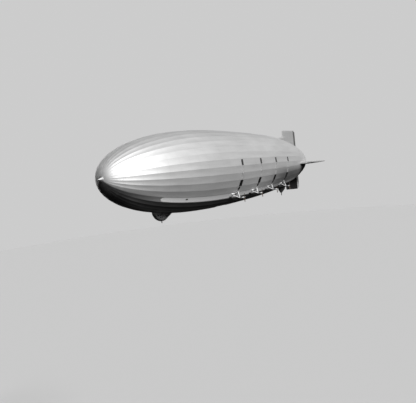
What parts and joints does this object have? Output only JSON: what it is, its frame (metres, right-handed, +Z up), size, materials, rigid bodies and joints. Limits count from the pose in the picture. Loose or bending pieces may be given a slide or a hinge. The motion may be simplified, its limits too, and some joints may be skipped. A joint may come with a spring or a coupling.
{
  "type": "rigid airship, 1:10 scale model",
  "caption": "Rigid airship scale model: long many-sided silver hull, hollow control car, cross tail with hinged rudders and elevators, swivelling side propellers.",
  "frame": {"origin": "on the hull's axis 11.0 m aft of the mooring cone's tip, where the lift holds the ship", "axes": "+X along the hull's axis to the bow, +Y to port, +Z up"},
  "size_m": [23.93, 4.88, 5.052],
  "materials": {
    "cover": "aluminium-doped cotton, satin",
    "bow_cap": "satin sheet",
    "mooring_steel": "machined steel",
    "tail_cone": "aluminium-doped cotton, satin",
    "hangar_leaf": "painted sheet, satin",
    "hangar_rail": "bare metal",
    "condenser": "finned panels, weathered",
    "outrigger": "doped fairing, satin",
    "gearbox": "cast housing, satin",
    "propeller_wood": "varnished laminated wood",
    "fin_cover": "aluminium-doped cotton, satin",
    "control_surface": "doped cotton, satin",
    "car_shell": "painted sheet, satin",
    "wheel_fork": "painted dark",
    "landing_wheel": "black rubber",
    "tail_pylon": "painted dark"
  },
  "bodies": {
    "ship": {"hull_cover": "cover", "bow_cap": "bow_cap", "mooring_cone": "mooring_steel", "tail_cone": "tail_cone", "hangar_rail_fore": "hangar_rail", "hangar_rail_aft": "hangar_rail", "condenser_port_1": "condenser", "outrigger_port_1": "outrigger", "condenser_port_2": "condenser", "outrigger_port_2": "outrigger", "condenser_port_3": "condenser", "outrigger_port_3": "outrigger", "condenser_port_4": "condenser", "outrigger_port_4": "outrigger", "condenser_starboard_1": "condenser", "outrigger_starboard_1": "outrigger", "condenser_starboard_2": "condenser", "outrigger_starboard_2": "outrigger", "condenser_starboard_3": "condenser", "outrigger_starboard_3": "outrigger", "condenser_starboard_4": "condenser", "outrigger_starboard_4": "outrigger", "fin_upper": "fin_cover", "fin_lower": "fin_cover", "fin_port": "fin_cover", "fin_starboard": "fin_cover", "control_car": "car_shell", "car_wheel_fork": "wheel_fork", "tail_pylon": "tail_pylon"},
    "gearbox_port_1": {"gearbox_port_1": "gearbox"},
    "propeller_port_1": {"propeller_port_1": "propeller_wood"},
    "gearbox_starboard_1": {"gearbox_starboard_1": "gearbox"},
    "propeller_starboard_1": {"propeller_starboard_1": "propeller_wood"},
    "gearbox_port_2": {"gearbox_port_2": "gearbox"},
    "propeller_port_2": {"propeller_port_2": "propeller_wood"},
    "gearbox_starboard_2": {"gearbox_starboard_2": "gearbox"},
    "propeller_starboard_2": {"propeller_starboard_2": "propeller_wood"},
    "gearbox_port_3": {"gearbox_port_3": "gearbox"},
    "propeller_port_3": {"propeller_port_3": "propeller_wood"},
    "gearbox_starboard_3": {"gearbox_starboard_3": "gearbox"},
    "propeller_starboard_3": {"propeller_starboard_3": "propeller_wood"},
    "gearbox_port_4": {"gearbox_port_4": "gearbox"},
    "propeller_port_4": {"propeller_port_4": "propeller_wood"},
    "gearbox_starboard_4": {"gearbox_starboard_4": "gearbox"},
    "propeller_starboard_4": {"propeller_starboard_4": "propeller_wood"},
    "rudder_upper": {"rudder_upper": "control_surface"},
    "rudder_lower": {"rudder_lower": "control_surface"},
    "elevator_port": {"elevator_port": "control_surface"},
    "elevator_starboard": {"elevator_starboard": "control_surface"},
    "car_door": {"car_door": "car_shell"},
    "hangar_door_port": {"hangar_door_port": "hangar_leaf"},
    "hangar_door_starboard": {"hangar_door_starboard": "hangar_leaf"},
    "car_wheel": {"car_wheel": "landing_wheel"},
    "tail_wheel": {"tail_wheel": "landing_wheel"}
  },
  "joints": [
    {"name": "swivel_port_1", "type": "hinge", "parent": "ship", "child": "gearbox_port_1", "pos_m": [3.55, 1.84, -1.58], "axis": [0, -1, 0], "range_deg": [0, 90]},
    {"name": "spin_port_1", "type": "hinge", "parent": "gearbox_port_1", "child": "propeller_port_1", "pos_m": [3.3947, 1.84, -1.58], "axis": [1, 0, 0], "continuous": true},
    {"name": "swivel_starboard_1", "type": "hinge", "parent": "ship", "child": "gearbox_starboard_1", "pos_m": [3.55, -1.84, -1.58], "axis": [0, -1, 0], "range_deg": [0, 90]},
    {"name": "spin_starboard_1", "type": "hinge", "parent": "gearbox_starboard_1", "child": "propeller_starboard_1", "pos_m": [3.3947, -1.84, -1.58], "axis": [1, 0, 0], "continuous": true},
    {"name": "swivel_port_2", "type": "hinge", "parent": "ship", "child": "gearbox_port_2", "pos_m": [1.3, 1.84, -1.58], "axis": [0, -1, 0], "range_deg": [0, 90]},
    {"name": "spin_port_2", "type": "hinge", "parent": "gearbox_port_2", "child": "propeller_port_2", "pos_m": [1.1447, 1.84, -1.58], "axis": [1, 0, 0], "continuous": true},
    {"name": "swivel_starboard_2", "type": "hinge", "parent": "ship", "child": "gearbox_starboard_2", "pos_m": [1.3, -1.84, -1.58], "axis": [0, -1, 0], "range_deg": [0, 90]},
    {"name": "spin_starboard_2", "type": "hinge", "parent": "gearbox_starboard_2", "child": "propeller_starboard_2", "pos_m": [1.1447, -1.84, -1.58], "axis": [1, 0, 0], "continuous": true},
    {"name": "swivel_port_3", "type": "hinge", "parent": "ship", "child": "gearbox_port_3", "pos_m": [-0.95, 1.84, -1.58], "axis": [0, -1, 0], "range_deg": [0, 90]},
    {"name": "spin_port_3", "type": "hinge", "parent": "gearbox_port_3", "child": "propeller_port_3", "pos_m": [-1.1053, 1.84, -1.58], "axis": [1, 0, 0], "continuous": true},
    {"name": "swivel_starboard_3", "type": "hinge", "parent": "ship", "child": "gearbox_starboard_3", "pos_m": [-0.95, -1.84, -1.58], "axis": [0, -1, 0], "range_deg": [0, 90]},
    {"name": "spin_starboard_3", "type": "hinge", "parent": "gearbox_starboard_3", "child": "propeller_starboard_3", "pos_m": [-1.1053, -1.84, -1.58], "axis": [1, 0, 0], "continuous": true},
    {"name": "swivel_port_4", "type": "hinge", "parent": "ship", "child": "gearbox_port_4", "pos_m": [-3.2, 1.84, -1.58], "axis": [0, -1, 0], "range_deg": [0, 90]},
    {"name": "spin_port_4", "type": "hinge", "parent": "gearbox_port_4", "child": "propeller_port_4", "pos_m": [-3.3553, 1.84, -1.58], "axis": [1, 0, 0], "continuous": true},
    {"name": "swivel_starboard_4", "type": "hinge", "parent": "ship", "child": "gearbox_starboard_4", "pos_m": [-3.2, -1.84, -1.58], "axis": [0, -1, 0], "range_deg": [0, 90]},
    {"name": "spin_starboard_4", "type": "hinge", "parent": "gearbox_starboard_4", "child": "propeller_starboard_4", "pos_m": [-3.3553, -1.84, -1.58], "axis": [1, 0, 0], "continuous": true},
    {"name": "rudder_turn_upper", "type": "hinge", "parent": "ship", "child": "rudder_upper", "pos_m": [-10.5, 0, 1], "axis": [0, 0, 1], "range_deg": [-25, 25]},
    {"name": "rudder_turn_lower", "type": "hinge", "parent": "ship", "child": "rudder_lower", "pos_m": [-10.5, 0, -1], "axis": [0, 0, 1], "range_deg": [-25, 25]},
    {"name": "elevator_turn_port", "type": "hinge", "parent": "ship", "child": "elevator_port", "pos_m": [-10.5, 1, -0.22], "axis": [0, 1, 0], "range_deg": [-20, 20]},
    {"name": "elevator_turn_starboard", "type": "hinge", "parent": "ship", "child": "elevator_starboard", "pos_m": [-10.5, -1, -0.22], "axis": [0, 1, 0], "range_deg": [-20, 20]},
    {"name": "car_door_swing", "type": "hinge", "parent": "ship", "child": "car_door", "pos_m": [7.765, 0.14425, -1.8125], "axis": [0, 0, -1], "range_deg": [0, 100]},
    {"name": "hangar_slide_port", "type": "hinge", "parent": "ship", "child": "hangar_door_port", "pos_m": [3.3, 0, 0], "axis": [1, 0, 0], "range_deg": [0, 14]},
    {"name": "hangar_slide_starboard", "type": "hinge", "parent": "ship", "child": "hangar_door_starboard", "pos_m": [3.3, 0, 0], "axis": [-1, 0, 0], "range_deg": [0, 14]},
    {"name": "car_wheel_spin", "type": "hinge", "parent": "ship", "child": "car_wheel", "pos_m": [7.8, 0, -2.062], "axis": [0, 1, 0], "continuous": true},
    {"name": "tail_wheel_spin", "type": "hinge", "parent": "ship", "child": "tail_wheel", "pos_m": [-6.63, 0, -2.41], "axis": [0, 1, 0], "continuous": true}
  ],
  "couplings": [
    {"joint": "rudder_turn_lower", "follows": "rudder_turn_upper", "ratio": 1},
    {"joint": "elevator_turn_starboard", "follows": "elevator_turn_port", "ratio": 1}
  ]
}
